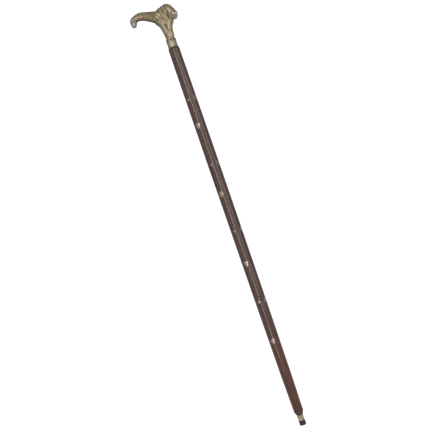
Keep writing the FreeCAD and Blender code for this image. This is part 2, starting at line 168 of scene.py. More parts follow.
def per_mm(size):
    """The scale that makes a texture's unit as large as a size in millimetres."""
    return 1 / (size * MM)


def object_place(tree):
    """Where a point lies on its object."""
    return add(tree, "ShaderNodeTexCoord").outputs["Object"]


def object_height(tree):
    """How high a point lies on its object."""
    return add(tree, "ShaderNodeSeparateXYZ", i0=object_place(tree)).outputs["Z"]


def noise_texture(tree, across, upwards=None, **more):
    """Noise in blotches of a size in millimetres, or of one size across and one up the stick."""
    place, scale = object_place(tree), per_mm(across)
    if upwards:
        stretch = (scale, scale, per_mm(upwards))
        place, scale = add(tree, "ShaderNodeMapping", Vector=place, Scale=stretch).outputs[0], 1.0
    return add(tree, "ShaderNodeTexNoise", Vector=place, Scale=scale, **more).outputs["Fac"]


def bump(tree, height, strength, depth):
    """Relief of up to a depth in millimetres that only the light feels."""
    return add(tree, "ShaderNodeBump", Strength=strength, Distance=depth * MM,
               Height=height).outputs[0]


def seams(tree, places):
    """1 at the given heights, falling to 0 over each one's reach in millimetres."""
    height, strongest = object_height(tree), 0.0
    for level, reach in places:
        apart = maths(tree, "ABSOLUTE", maths(tree, "SUBTRACT", height, level))
        near = add(tree, "ShaderNodeMapRange", {"interpolation_type": "SMOOTHSTEP"}, i0=apart,
                   From_Min=0.35 * reach * MM, From_Max=reach * MM, To_Min=1.0, To_Max=0.0)
        strongest = maths(tree, "MAXIMUM", near.outputs[0], strongest)
    return strongest


# %% [markdown]
# ## Studio
#
# The object was photographed as shops do it: on pure white, with a large soft lamp beside the
# camera. A polished rod shows its lamp as one long streak, so one lamp is a tall strip a little to
# the left, near enough to the stick that its mirror image still shows close above the floor. The
# white is seen by the camera, and doesn't come from more light on the object.


# %% Floor, backdrop and world
def white_to_the_eye(name, glow_strength, mirrored_share):
    """A pale surface. To the eye and through glass it also glows, so that it reads as white and
    only the darkest part of a shadow still shows. In reflections it glows less, as a grey card."""
    material, tree, shader = new_material(name)
    path = add(tree, "ShaderNodeLightPath").outputs
    seen = maths(tree, "MAXIMUM", path["Is Camera Ray"], path["Is Transmission Ray"])
    mirrored = maths(tree, "MULTIPLY", path["Is Glossy Ray"], mirrored_share)
    glow = maths(tree, "MULTIPLY", maths(tree, "MAXIMUM", seen, mirrored), glow_strength)
    feed(tree, shader, Base_Color=linear("#CFCFCF"), Roughness=0.9, Specular_IOR_Level=0.0,
         Emission_Color=(1, 1, 1, 1), Emission_Strength=glow)
    return material


def stage_plane(name, centre, half_sizes, material, upright_plane=False):
    """A level or upright rectangle."""
    (x, y, z), (across, along) = centre, half_sizes
    corners = []
    for a, b in ((-1, -1), (1, -1), (1, 1), (-1, 1)):
        offset = (a * across, 0, b * along) if upright_plane else (a * across, b * along, 0)
        corners.append((x + offset[0], y + offset[1], z + offset[2]))
    mesh = bpy.data.meshes.new(name)
    mesh.from_pydata(corners, [], [(0, 1, 2, 3)])
    mesh.materials.append(material)
    plane = bpy.data.objects.new(name, mesh)
    bpy.context.scene.collection.objects.link(plane)


FLOOR_HALF = 4.0
BACKDROP_DISTANCE = 2.2
stage_plane("floor", (0, 0, 0), (FLOOR_HALF, FLOOR_HALF), white_to_the_eye("pale_floor", 0.86, 0.3))
stage_plane("backdrop", (0, BACKDROP_DISTANCE, 1.2), (2.0, 1.2),
            white_to_the_eye("pale_backdrop", 0.9, 0.6), upright_plane=True)

world = bpy.data.worlds.new("studio")
bpy.context.scene.world = world
world.use_nodes = True
sky = world.node_tree
# the far walls are white to the eye and through glass, and a soft grey in reflections, so that a
# polished rod gets the dark edges that it has between two grey cards
AMBIENT, REFLECTED_WALLS = 0.4, 0.48
ray = add(sky, "ShaderNodeLightPath").outputs
straight = maths(sky, "MAXIMUM", ray["Is Camera Ray"], ray["Is Transmission Ray"])
mirrored = add(sky, "ShaderNodeMapRange", i0=ray["Is Glossy Ray"], To_Min=AMBIENT,
               To_Max=REFLECTED_WALLS).outputs[0]
feed(sky, sky.nodes["Background"], Color=(1, 1, 1, 1),
     Strength=maths(sky, "MAXIMUM", straight, mirrored))
bpy.context.scene.view_settings.view_transform = "Standard"


# %% Lamps
def soft_lamp(name, place, aim, size, brightness):
    """A rectangular lamp at a place, facing a point. Its brightness is that of its face, where 1
    is white, so the power grows with the area."""
    data = bpy.data.lights.new(name, "AREA")
    data.shape = "RECTANGLE"
    data.size, data.size_y = size
    data.energy = brightness * math.pi * size[0] * size[1]
    lamp = bpy.data.objects.new(name, data)
    lamp.location = place
    lamp.rotation_euler = (Vector(aim) - Vector(place)).to_track_quat("-Z", "Y").to_euler()
    # seen from behind the stick, a bright lamp would eat into its outline
    lamp.visible_camera = False
    bpy.context.scene.collection.objects.link(lamp)


STICK_MIDDLE = (0, 0, 0.46)
soft_lamp("key_box", (0.6, -1.9, 0.7), STICK_MIDDLE, (2.0, 2.2), 0.82)
soft_lamp("key_strip", (-0.145, -0.6, 0.56), (0, 0, 0.56), (0.085, 1.1), 7.0)
soft_lamp("right_fill", (1.3, -1.1, 0.8), STICK_MIDDLE, (0.5, 1.6), 1.9)
soft_lamp("left_edge", (-1.2, -0.75, 0.8), STICK_MIDDLE, (0.24, 1.6), 1.5)
soft_lamp("top_light", (-0.1, -0.5, 1.9), (0, 0, 0.85), (0.8, 0.6), 0.8)
print("studio: floor, backdrop and 5 lamps")

# %% [markdown]
# ## Finishes
#
# Each finish starts from what the real surface is and how it was made.
#
# *Antiqued cast brass* is left with a dark patina in its hollows while the high places are buffed
# bright, and some highlight and shade are painted into that patina. *Polished brass* of the collar,
# ring and ferrule has fine turning lines, and painted shade under the collar's rim. The shaft is
# dark
# rosewood under a clear varnish: long grain, fine pores, and one long streak of the lamp. The
# leaves and dots in it are brass sheet, and the foot is moulded rubber.


# %% Rosewood
def make_rosewood():
    """Dark red-brown wood with its grain along the shaft, under a clear varnish."""
    material, tree, shader = new_material("varnished_rosewood")
    # growth bands 5 mm wide that run 120 mm along the shaft and wander a little
    bands = noise_texture(tree, 5, 120, Detail=3.0, Roughness=0.55, Distortion=0.6)
    # fibres about 0.7 mm wide and 30 mm long
    fibres = noise_texture(tree, 0.7, 30, Detail=2.0)
    # pores: fine dark dashes 0.25 mm wide and 6 mm long
    pores = noise_texture(tree, 0.25, 6, Detail=1.0)
    browns = ramp(tree, bands, [(0.30, "#311B15"), (0.46, "#472920"), (0.58, "#553027"),
                                (0.72, "#3A221B")])
    reds = ramp(tree, bands, [(0.30, "#3B1A0F"), (0.46, "#592A16"), (0.58, "#69331A"),
                              (0.72, "#462111")])
    # the wood is redder towards the foot
    redness = add(tree, "ShaderNodeMapRange", i0=object_height(tree), From_Min=60 * MM,
                  From_Max=330 * MM, To_Min=1.0, To_Max=0.15)
    wood = mix(tree, redness.outputs[0], browns, reds)
    streaks = ramp(tree, fibres, [(0.35, "#A0A0A0"), (0.60, "#FFFFFF")])
    wood = mix(tree, 0.8, wood, streaks, "MULTIPLY")
    dashes = ramp(tree, pores, [(0.30, "#707070"), (0.42, "#FFFFFF")])
    wood = mix(tree, 0.7, wood, dashes, "MULTIPLY")
    # glue and old polish have darkened the last 2 mm at the collar and at the ferrule
    ends = seams(tree, [(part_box("collar")[0].z, 2.2), (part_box("ferrule")[1].z, 1.6)])
    wood = mix(tree, ends, wood, linear("#8E8268"), "MULTIPLY")
    feed(tree, shader, Base_Color=wood, Normal=bump(tree, fibres, 0.15, 0.05), Roughness=0.45,
         IOR=1.5, Specular_IOR_Level=0.08, Coat_Weight=1.0, Coat_Roughness=0.19, Coat_IOR=1.55)
    return material


# %% Turned metal
def make_turned_metal(name, bright, dull, roughness, tarnish_and_rim_shade=()):
    """Metal with the faint rings of the lathe and a slow drift of tarnish. On brass the tarnish is
    dark at the joints, where the cloth doesn't reach, and on the lower side of the collar's rim
    that dark band is painted shade."""
    material, tree, shader = new_material(name)
    # the tarnish drifts over about 7 mm, and the marks of the lathe run round, 0.35 mm apart
    drift = noise_texture(tree, 7, Detail=4.0)
    lines = noise_texture(tree, 40, 0.35, Detail=1.0)
    colour = ramp(tree, drift, [(0.35, dull), (0.62, bright)])
    if tarnish_and_rim_shade:
        # a dark band at the joints, which under the collar's rim is painted shade
        colour = mix(tree, seams(tree, tarnish_and_rim_shade), colour, linear("#4B402B"))
    shine = add(tree, "ShaderNodeMapRange", i0=drift, From_Min=0.3, From_Max=0.7,
                To_Min=roughness + 0.08, To_Max=roughness - 0.04)
    feed(tree, shader, Base_Color=colour, Metallic=1.0, Roughness=shine.outputs[0],
         Normal=bump(tree, lines, 0.12, 0.02))
    return material


# %% Cast brass
def make_antique_brass():
    """Cast brass, darkened with patina that stays in the hollows and is buffed off the ridges, with
    some highlight and shade painted into it. Where it is rubbed bare it is paler and greyer, and on
    the crown and the front of the face that grey is painted shade. Where the palm lies it is brown,
    and darker towards the underside of the grip as painted shade."""
    material, tree, shader = new_material("antiqued_cast_brass")
    hollow, rubbed, palm = (
        add(tree, "ShaderNodeAttribute", {"attribute_name": name}).outputs["Fac"]
        for name in ("hollow", "rubbed", "palm"))
    # the patina is blotchy at about 4 mm, with a fine grain of 0.8 mm left by the sand of the mould
    blotches = noise_texture(tree, 4, Detail=4.0, Roughness=0.6)
    grain = noise_texture(tree, 0.8, Detail=2.0)
    uneven = maths(tree, "MULTIPLY_ADD", blotches, 0.55, -0.275)
    # the patina together with its painted highlight and shade, made blotchy
    blotchy_patina_with_painted_light = maths(tree, "ADD", hollow, uneven, clamped=True)
    colour = ramp(tree, blotchy_patina_with_painted_light, [(0.26, "#BFB49D"), (0.42, "#9A8E79"), (0.56, "#7F7360"),
                               (0.72, "#645949"), (0.90, "#4E4439")])
    bared_and_shade_grey = ramp(tree, blotchy_patina_with_painted_light, [(0.26, "#BCB5AC"), (0.42, "#989088"), (0.56, "#7D756D"),
                              (0.72, "#635B55"), (0.90, "#4E4745")])
    # greyer where rubbed bare, and on the crown and the front of the face a painted grey of shade
    colour = mix(tree, rubbed, colour, bared_and_shade_grey)
    # browner where the palm lies, and darker towards the underside of the grip as painted shade
    colour = mix(tree, palm, colour, linear("#D0CACA"), "MULTIPLY")
    tint = ramp(tree, blotches, [(0.35, "#F2FFEA"), (0.65, "#FFEDE0")])
    colour = mix(tree, 0.7, colour, tint, "MULTIPLY")
    metal = add(tree, "ShaderNodeMapRange", i0=blotchy_patina_with_painted_light, From_Min=0.55, From_Max=0.85, To_Min=1.0,
                To_Max=0.45)
    shine = add(tree, "ShaderNodeMapRange", i0=blotchy_patina_with_painted_light, From_Min=0.3, From_Max=0.75, To_Min=0.40,
                To_Max=0.62)
    feed(tree, shader, Base_Color=colour, Metallic=metal.outputs[0], Roughness=shine.outputs[0],
         Normal=bump(tree, grain, 0.25, 0.06))
    return material


# %% Inlaid brass
def make_inlaid_brass():
    """Brass sheet, filed and varnished over with the wood. A drift of 90 mm gives each leaf or dot
    a tone of its own, from coppery to pale, and scratches 0.3 mm apart run round the shaft."""
    material, tree, shader = new_material("inlaid_brass")
    drift = noise_texture(tree, 90, Detail=0.0)
    colour = ramp(tree, drift, [(0.36, "#A38B80"), (0.50, "#B8AA9C"), (0.64, "#A6947F")])
    stain = noise_texture(tree, 3, Detail=3.0)
    dulled = ramp(tree, stain, [(0.35, "#A8A29C"), (0.60, "#FFFFFF")])
    scratches = noise_texture(tree, 12, 0.3, Detail=1.0)
    feed(tree, shader, Base_Color=mix(tree, 0.85, colour, dulled, "MULTIPLY"), Metallic=1.0,
         Roughness=0.34, Normal=bump(tree, scratches, 0.15, 0.02))
    return material


# %% Rubber
def make_rubber():
    """Moulded black rubber, matt, with dust in patches of 2.5 mm on a grain of 0.5 mm."""
    material, tree, shader = new_material("moulded_rubber")
    dust, grain = noise_texture(tree, 2.5, Detail=4.0), noise_texture(tree, 0.5, Detail=2.0)
    colour = ramp(tree, dust, [(0.35, "#1B1D1A"), (0.70, "#34362F")])
    feed(tree, shader, Base_Color=colour, Roughness=0.62, Normal=bump(tree, grain, 0.3, 0.05))
    return material


# %% The finish of each material slot
# the collar's rim with the seam above it, where the dark band is also painted shade of the rim, the
# seam under the handle, and the ferrule's lower edge
TARNISH_AND_RIM_SHADE = [(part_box("collar")[1].z - 0.7 * MM, 1.2), (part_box("neck_ring")[1].z, 0.5),
             (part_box("ferrule")[0].z, 1.5)]
FINISHES = {
    "antique_brass": make_antique_brass(),
    "polished_brass": make_turned_metal("polished_brass", "#A89D86", "#857A66", 0.52, TARNISH_AND_RIM_SHADE),
    "inlay_brass": make_inlaid_brass(),
    "rosewood": make_rosewood(),
    "rubber": make_rubber(),
    # the rod and the washer inside the stick
    "steel": make_turned_metal("turned_steel", "#B9BCBE", "#8E9296", 0.34),
}
print("finishes:", ", ".join(FINISHES))

# %% [markdown]
# ## Dressing the fitted pieces
#
# The turned pieces and the inlays have their true shape already, so each solid keeps its place and
# gets the finish of its material slot. Two pieces of the polished brass get a brighter one.

# %% Give every node its finish
SLOT_OF_NODE = {part["node"]: part["material_slot"] for part in frame["record"]["subparts"]}
# the ring is rubbed by the hand and the ferrule by the ground, so both are brighter than the collar
RUBBED_BRASS = make_turned_metal("rubbed_polished_brass", "#C2B39C", "#9A8D78", 0.44, TARNISH_AND_RIM_SHADE)
BRIGHTER_NODES = ("neck_ring", "ferrule")
for name, node in nodes.items():
    finish = RUBBED_BRASS if name in BRIGHTER_NODES else FINISHES[SLOT_OF_NODE[name]]
    for slot in node.material_slots:
        slot.material = finish
print("dressed", len(nodes), "nodes")

# %% [markdown]
# ## The lion's head handle
#
# The real handle is cast: someone carves a pattern, a mould is taken from it, and brass is poured.
# The head is shown in profile, with the face to one side and a mane of long locks that sweep back
# and down the neck. Such a form could be pulled from a cube with subdivision surfaces, but hair is
# slow to make that way. Here the work follows a sculptor's order instead: a blank, lumps of clay
# for the features, locks laid on in rows, one skin over everything, and then strokes of a tool.
#
# Lengths are in millimetres above a base line in the neck, and one function takes them to the
# frame.

# %% Clay tools
HANDLE_LOW, HANDLE_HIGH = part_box("handle")
CROWN_HEIGHT = 67.5
BASE_LINE = HANDLE_HIGH.z - CROWN_HEIGHT * MM


def at(x, y, height):
    """A point given in millimetres: along and across from the shaft's axis, and above a base line
    in the neck."""
    return Vector((x * MM, y * MM, BASE_LINE + height * MM))


def link(name, mesh):
    """A new object with this mesh, in the scene."""
    piece = bpy.data.objects.new(name, mesh)
    bpy.context.scene.collection.objects.link(piece)
    return piece


def evaluated(piece, name):
    """A plain mesh of a piece with its modifiers applied; the piece itself is removed."""
    graph = bpy.context.evaluated_depsgraph_get()
    mesh = bpy.data.meshes.new_from_object(piece.evaluated_get(graph), depsgraph=graph)
    mesh.name = name
    bpy.data.objects.remove(piece)
    return mesh


def mesh_of(shape, name):
    """A plain mesh of a shape that was being worked on, which is then let go."""
    mesh = bpy.data.meshes.new(name)
    shape.to_mesh(mesh)
    shape.free()
    return mesh


def one_skin(meshes, name, voxel):
    """Join closed meshes and wrap one even skin round them, a voxel to a face."""
    joined = bmesh.new()
    for mesh in meshes:
        joined.from_mesh(mesh)
    piece = link(name, mesh_of(joined, name))
    wrap = piece.modifiers.new("skin", "REMESH")
    wrap.mode = "VOXEL"
    wrap.voxel_size = voxel
    return evaluated(piece, name)


def points_of(mesh):
    """The places of a mesh's points, a row for each."""
    flat = np.empty(len(mesh.vertices) * 3)
    mesh.vertices.foreach_get("co", flat)
    return flat.reshape(-1, 3)


def normals_of(mesh):
    """The way outwards at each point."""
    flat = np.empty(len(mesh.vertices) * 3, np.float32)
    mesh.vertex_normals.foreach_get("vector", flat)
    return flat.reshape(-1, 3).astype(float)


def move_points(mesh, points):
    """Give a mesh's points new places."""
    mesh.vertices.foreach_set("co", points.ravel())
    mesh.update()


def relaxed(mesh, points, rounds, share=0.5):
    """Points after each has moved towards the mean of its neighbours a few times."""
    edges = np.empty(len(mesh.edges) * 2, int)
    mesh.edges.foreach_get("vertices", edges)
    first, second = edges.reshape(-1, 2).T
    count = len(points)
    neighbours = np.bincount(first, minlength=count) + np.bincount(second, minlength=count)
    points = points.copy()
    for _ in range(rounds):
        for axis in range(3):
            total = np.bincount(first, points[second, axis], count)
            total += np.bincount(second, points[first, axis], count)
            points[:, axis] += share * (total / neighbours - points[:, axis])
    return points


def lump(centre, radii, lean=0.0):
    """A ball of clay: radii along X, Y and Z in millimetres, leaned back about Y in degrees."""
    ball = bmesh.new()
    bmesh.ops.create_icosphere(ball, subdivisions=4, radius=1.0)
    turn = Matrix.Rotation(math.radians(lean), 4, "Y")
    size = Matrix.Diagonal([radius * MM for radius in radii] + [1])
    ball.transform(Matrix.Translation(at(*centre)) @ turn @ size)
    return mesh_of(ball, "lump")


def both_sides(centre, radii, lean=0.0):
    """The same lump on the left and on the right of the head."""
    x, y, height = centre
    return [lump((x, side * y, height), radii, lean) for side in (-1, 1)]


# %% [markdown]
# ### The blank
#
# The solid from the construction already has the true outline, so a copy of it is the blank. Its
# masses meet in hard creases. A voxel skin makes them one even net of small squares, and a few
# rounds of relaxing run the creases together as a thumb would.

# %% Blank from the solid
BLANK_VOXEL = 0.7 * MM
BLANK_ROUNDS = 14
solid = bmesh.new()
solid.from_mesh(nodes["handle"].data)
bmesh.ops.remove_doubles(solid, verts=solid.verts, dist=0.001 * MM)
blank = one_skin([mesh_of(solid, "solid")], "blank", BLANK_VOXEL)
move_points(blank, relaxed(blank, points_of(blank), BLANK_ROUNDS))
print("blank:", len(blank.vertices), "points")

# %% [markdown]
# ### A stroke of the tool
#
# A stroke is a path on the surface, a width and a depth. Every point of the skin near the path
# moves along its own normal, most at the middle and fading out like a bell curve, so a negative
# depth cuts a soft groove and a positive one raises a ridge. All strokes off the middle plane are
# made twice, once on each side of the face.


# %% Carving
def near_path(points, path):
    """For each point the distance to a path and the share of the path's length passed there."""
    steps = [(end - start).length for start, end in zip(path, path[1:])]
    closest = np.full(len(points), np.inf)
    share = np.zeros(len(points))
    passed = 0.0
    for start, end, step in zip(path, path[1:], steps):
        along_step = np.array(end - start) / step
        offset = points - np.array(start)
        reach = np.clip(offset @ along_step, 0, step)
        distance = np.linalg.norm(offset - reach[:, None] * along_step, axis=1)
        nearer = distance < closest
        closest[nearer] = distance[nearer]
        share[nearer] = (passed + reach[nearer]) / sum(steps)
        passed += step
    return closest, share


# a stroke is felt for three widths, and over a quarter of its length it fades to a light touch
STROKE_REACH, STROKE_FADE, LIGHT_TOUCH = 3, 0.25, 0.35


def carve(mesh, strokes):
    """Make strokes on a mesh. Each is (path in millimetres, width, depth)."""
    points, normals = points_of(mesh), normals_of(mesh)
    tree = BVHTree.FromPolygons(points.tolist(), [face.vertices for face in mesh.polygons])
    for path, width, depth in strokes:
        sides = (-1, 1) if any(y for _, y, _ in path) else (1,)
        for side in sides:
            dropped = [tree.find_nearest(at(x, side * y, height))[0] for x, y, height in path]
            low = np.min([list(p) for p in dropped], axis=0) - STROKE_REACH * width * MM
            high = np.max([list(p) for p in dropped], axis=0) + STROKE_REACH * width * MM
            near = np.flatnonzero(((points > low) & (points < high)).all(axis=1))
            distance, share = near_path(points[near], dropped)
            ends = np.clip(np.minimum(share, 1 - share) / STROKE_FADE, 0, 1)
            force = np.exp(-(distance / (width * MM)) ** 2)
            force = force * (LIGHT_TOUCH + (1 - LIGHT_TOUCH) * np.sqrt(ends))
            points[near] += normals[near] * (force * depth * MM)[:, None]
    move_points(mesh, points)


# %% Hollows of the face
HOLLOWS = [
    # eye sockets, then the stop between the brows
    ([(23.6, 2.8, 55.4), (19.6, 8.6, 54.4)], 2.5, -2.6),
    ([(20.4, 0.0, 61.0), (23.4, 0.0, 56.6)], 1.8, -0.7),
    # beside the nose, from the eye to the whisker pads
    ([(23.8, 6.2, 51.5), (26.4, 6.2, 47.2), (26.2, 7.4, 44.0)], 2.6, -2.2),
    # behind the cheek, where the mane begins
    ([(13.6, 12.2, 51.0), (12.4, 12.9, 46.0), (13.2, 12.0, 40.8)], 2.1, -2.5),
    # temples
    ([(17.4, 9.2, 60.0), (15.6, 11.4, 56.5)], 2.0, -1.0),
    # under the whisker pads
    ([(30.6, 0.0, 36.8), (27.5, 5.4, 36.6), (23.0, 7.6, 37.6)], 1.5, -1.2),
    # both sides of the chin
    ([(27.5, 5.6, 34.0), (22.5, 7.2, 33.6)], 2.3, -1.7),
    # the lower edge of the mane, against the bare neck
    ([(-19.0, 7.8, 52.5), (-15.8, 9.7, 45.6), (-11.2, 10.2, 38.0), (-6.4, 10.3, 31.4),
      (-2.8, 10.3, 26.8), (0.6, 10.3, 22.0)], 2.4, -1.0),
]
carve(blank, HOLLOWS)
print("carved", len(HOLLOWS), "hollows")

# %% [markdown]
# ### Lumps for the features
#
# A lion's face is a long flat wedge with square cheeks, heavy brows, a broad nose and two round
# whisker pads over a small chin. Each of those masses is one lump, pressed on in pairs.

# %% Features of the face
CLAY_VOXEL = 0.5 * MM
CLAY_ROUNDS = 2
features = []
# cheeks, brows, eyeballs
features += both_sides((17.0, 7.9, 48.6), (2.7, 4.6, 6.6), -8)
features += both_sides((20.6, 5.0, 59.0), (2.8, 3.9, 1.7), 34)
features += both_sides((21.7, 5.5, 54.8), (2.5, 2.6, 2.3))
# bridge and tip of the nose, whisker pads, lower jaw
features += [lump((25.3, 0, 50.6), (2.3, 3.0, 8.4), -29)]
features += [lump((29.9, 0, 43.9), (2.0, 3.6, 1.9), -22)]
features += both_sides((26.4, 3.9, 40.4), (4.5, 4.4, 3.7), 12)
features += [lump((25.8, 0, 35.0), (4.0, 3.6, 2.4), 14)]
# the angle of the jaw
features += both_sides((18.6, 5.6, 34.6), (3.0, 3.0, 2.6))
# ears, and the ends of the scroll at the tip of the grip
features += both_sides((13.2, 11.0, 58.2), (1.6, 3.2, 3.8), -12)
features += both_sides((-60.6, 6.0, 54.4), (1.5, 1.1, 1.5))
clay = one_skin([blank] + features, "clay", CLAY_VOXEL)
move_points(clay, relaxed(clay, points_of(clay), CLAY_ROUNDS))
print("clay:", len(clay.vertices), "points,", len(features), "lumps")

# %% [markdown]
# ### The mane
#
# A carved mane isn't single hairs but locks: long tapered tongues with a few flutes, each laid over
# the tips of the row behind. They follow the surface of the head and repeat with small changes,
# which is work for Geometry Nodes. Python only draws the guide lines. Hair starts along the ridge
# of the grip and round the face, falls over the side of the head, and gathers on the neck, so three
# lines of points describe its whole flow: the roots, the middles and the tips.

# %% Flow of the hair
# from the back of the ridge, over the crown, behind the ear and down the cheek to the throat
ROOTS = [(-18.0, 0.5, 62.2), (-10.0, 0.6, 63.0), (-2.0, 0.8, 64.9), (6.0, 2.6, 65.9),
         (8.6, 9.0, 62.6), (9.4, 12.6, 56.0), (10.6, 13.0, 46.0), (14.6, 10.0, 36.0),
         (20.2, 0.0, 30.0)]
MIDDLES = [(-14.4, 9.9, 45.0), (-10.0, 11.0, 47.5), (-4.5, 13.0, 49.5), (-1.5, 13.9, 47.5),
           (0.8, 13.7, 43.5), (3.6, 13.2, 38.5), (7.8, 12.2, 32.5), (13.0, 7.5, 26.0),
           (15.5, 0.0, 21.5)]
TIPS = [(-4.6, 10.3, 30.5), (-2.8, 10.3, 27.0), (-0.8, 10.3, 24.0), (1.2, 10.3, 21.6),
        (3.2, 10.3, 19.6), (5.2, 9.8, 17.8), (7.2, 8.5, 16.0), (9.4, 5.4, 14.5),
        (10.9, 0.0, 13.3)]


def along(line, share):
    """The point at a share of a line's points, on a smooth curve through them."""
    points = [Vector(p) for p in line]
    place = min(max(share, 0.0), 1.0) * (len(points) - 1)
    index = min(int(place), len(points) - 2)
    part = place - index
    before, start, end, after = (points[min(max(index + i, 0), len(points) - 1)]
                                 for i in (-1, 0, 1, 2))
    return 0.5 * (2 * start + (end - before) * part
                  + (2 * before - 5 * start + 4 * end - after) * part ** 2
                  + (3 * start - before - 3 * end + after) * part ** 3)


def flow(across, down):
    """A point of the hair: across from the ridge (0) to the throat (1), down from root to tip."""
    root, middle, tip = (along(line, across) for line in (ROOTS, MIDDLES, TIPS))
    return (root * (1 - down) * (1 - 2 * down) + middle * 4 * down * (1 - down)
            + tip * down * (2 * down - 1))


# %% Where each point lies in the flow
FLOW_NET = (80, 36)


def tree_of(mesh):
    """A search tree that finds the nearest place on a mesh."""
    return BVHTree.FromPolygons([v.co for v in mesh.vertices],
                                [face.vertices for face in mesh.polygons])


def faded(value, start, end):
    """0 before the start, 1 after the end, and a smooth step between."""
    share = np.clip((value - start) / (end - start), 0, 1)
    return share * share * (3 - 2 * share)


# a fine net of the flow, dropped on the clay on both sides
net, net_shares = KDTree(2 * FLOW_NET[0] * FLOW_NET[1]), []
clay_tree = tree_of(clay)
for side in (-1, 1):
    for i in range(FLOW_NET[0]):
        for j in range(FLOW_NET[1]):
            shares = (i / (FLOW_NET[0] - 1), j / (FLOW_NET[1] - 1))
            x, y, height = flow(*shares)
            net.insert(clay_tree.find_nearest(at(x, side * y, height))[0], len(net_shares))
            net_shares.append(shares)
net.balance()


def place_in_flow(points):
    """For each point its shares across and down the flow, and how far it is from the hair."""
    places = np.zeros((len(points), 3))
    for index, point in enumerate(points):
        found = net.find_n(point, 4)
        weights = np.array([1 / (distance + 0.05 * MM) for _, _, distance in found])
        shares = np.array([net_shares[known] for _, known, _ in found])
        places[index, :2] = weights @ shares / weights.sum()
        places[index, 2] = found[0][2] / MM
    return places


# %% Guide lines on the clay
POINTS_ON_A_LOCK = 14
WIDEST_LOCK = 2.5
SINK_UNDER_HAIR = 1.5
# a lock's root lies this deep, it stands at its full height and width after these shares of its
# length, and from the last share on its tip comes down again
ROOT_BURIED, FULL_HEIGHT_AT, FULL_WIDTH_AT, TIP_FROM = 0.6, 0.35, 0.3, 0.75
TIP_DROP, NARROWEST = 0.35, 0.15
# what chance changes from lock to lock: sideways sway, bend, length and fullness
SWAY, BEND, LENGTH, FULLNESS = (-0.010, 0.010), (0.010, 0.026), (-0.09, 0.06), (0.50, 0.62)

# the clay sinks a little under the hair, so that the locks end up level with the true outline;
# towards the ridge and the tips it doesn't, and the locks run out on the bare metal
points, normals = points_of(clay), normals_of(clay)
places = place_in_flow(points)
sink = faded(places[:, 2], 3.0, 1.2) * faded(places[:, 1], 1.0, 0.7) * faded(places[:, 0], 0.0, 0.1)
move_points(clay, points - normals * (SINK_UNDER_HAIR * MM * sink)[:, None])

clay_tree = tree_of(clay)
chance = np.random.default_rng(12)


def lay_lock(guides, path, half_widths, lift):
    """Drop a path of points on the clay and keep it as the guide of one lock. The root is buried,
    the middle stands off by the lift, and the tip runs out to a point that comes down again."""
    guide = []
    for index, (point, half_width) in enumerate(zip(path, half_widths)):
        share = index / (len(path) - 1)
        spot, outward, _, _ = clay_tree.find_nearest(at(*point))
        rise = min(share / FULL_HEIGHT_AT, 1.0)
        rise = rise - TIP_DROP * max((share - TIP_FROM) / (1 - TIP_FROM), 0.0)
        height = -ROOT_BURIED + (lift + ROOT_BURIED) * math.sin(math.pi / 2 * rise)
        root = 0.15 + 0.85 * math.sin(math.pi / 2 * min(share / FULL_WIDTH_AT, 1.0))
        width = half_width * root * (1 - share ** 2.6) + NARROWEST
        guide.append((spot + outward * height * MM, outward, width * MM))
    guides.append(guide)


def lay_row(guides, across, down, count, lift, shift):
    """A row of locks on both sides, between shares of the flow, each as wide as its place."""
    for side in (-1, 1):
        for lock in range(count):
            place = across[0] + (across[1] - across[0]) * (lock + shift) / count
            # the locks behind, next to the grip, lie flatter
            stand = lift * (0.2 + 0.8 * float(faded(place, 0.0, 0.25)))
            sway, bend = chance.uniform(*SWAY), chance.uniform(*BEND)
            reach = down[1] + chance.uniform(*LENGTH) * (down[1] - down[0])
            fullness = chance.uniform(*FULLNESS)
            path, half_widths = [], []
            for step in range(POINTS_ON_A_LOCK):
                share = step / (POINTS_ON_A_LOCK - 1)
                here = min(max(place + sway * share + bend * math.sin(2 * math.pi * share), 0), 1)
                level = down[0] + (reach - down[0]) * share
                x, y, height = flow(here, level)
                gap = (across[1] - across[0]) / count
                beside = flow(here + gap / 2, level) - flow(here - gap / 2, level)
                path.append((x, side * y, height))
                half_widths.append(min(fullness * max(beside.length, 0.9), WIDEST_LOCK))
            lay_lock(guides, path, half_widths, stand)


# rows from the neck up, so that each covers the roots of the one before: the shares across and
# down, locks a side, lift, and how far the row is shifted against the last
MANE_ROWS = [((0.0, 1.0), (0.34, 1.06), 9, 0.1, 0.3), ((0.05, 1.0), (-0.04, 0.80), 9, 0.4, 0.7),
             ((0.16, 0.92), (-0.06, 0.46), 7, 0.6, 0.4)]
mane_guides = []
for row in MANE_ROWS:
    lay_row(mane_guides, *row)
# small locks under the chin
BEARD_LOCKS = 7
BEARD_POINTS = 9
BEARD_HALF_WIDTH, BEARD_LIFT = 1.2, 0.5
for lock in range(BEARD_LOCKS):
    y = 6.0 * (lock / (BEARD_LOCKS - 1) - 0.5) * 2
    shares = [step / (BEARD_POINTS - 1) for step in range(BEARD_POINTS)]
    path = [(27.4 - 0.12 * y * y - 6.4 * share, y * (1 - 0.25 * share), 33.6 - 3.2 * share)
            for share in shares]
    lay_lock(mane_guides, path, [BEARD_HALF_WIDTH] * BEARD_POINTS, BEARD_LIFT)
print("mane:", len(mane_guides), "guides")


# %% Locks swept along the guides
def guide_mesh(guides):
    """Guides as chains of edges that carry their half width and the way out of the clay."""
    points, edges, outward, widths = [], [], [], []
    for guide in guides:
        first = len(points)
        points += [spot for spot, _, _ in guide]
        outward += [c for _, normal, _ in guide for c in normal]
        widths += [width for _, _, width in guide]
        edges += [(i, i + 1) for i in range(first, len(points) - 1)]
    mesh = bpy.data.meshes.new("guides")
    mesh.from_pydata(points, edges, [])
    mesh.attributes.new("outward", "FLOAT_VECTOR", "POINT").data.foreach_set("vector", outward)
    mesh.attributes.new("half_width", "FLOAT", "POINT").data.foreach_set("value", widths)
    return mesh


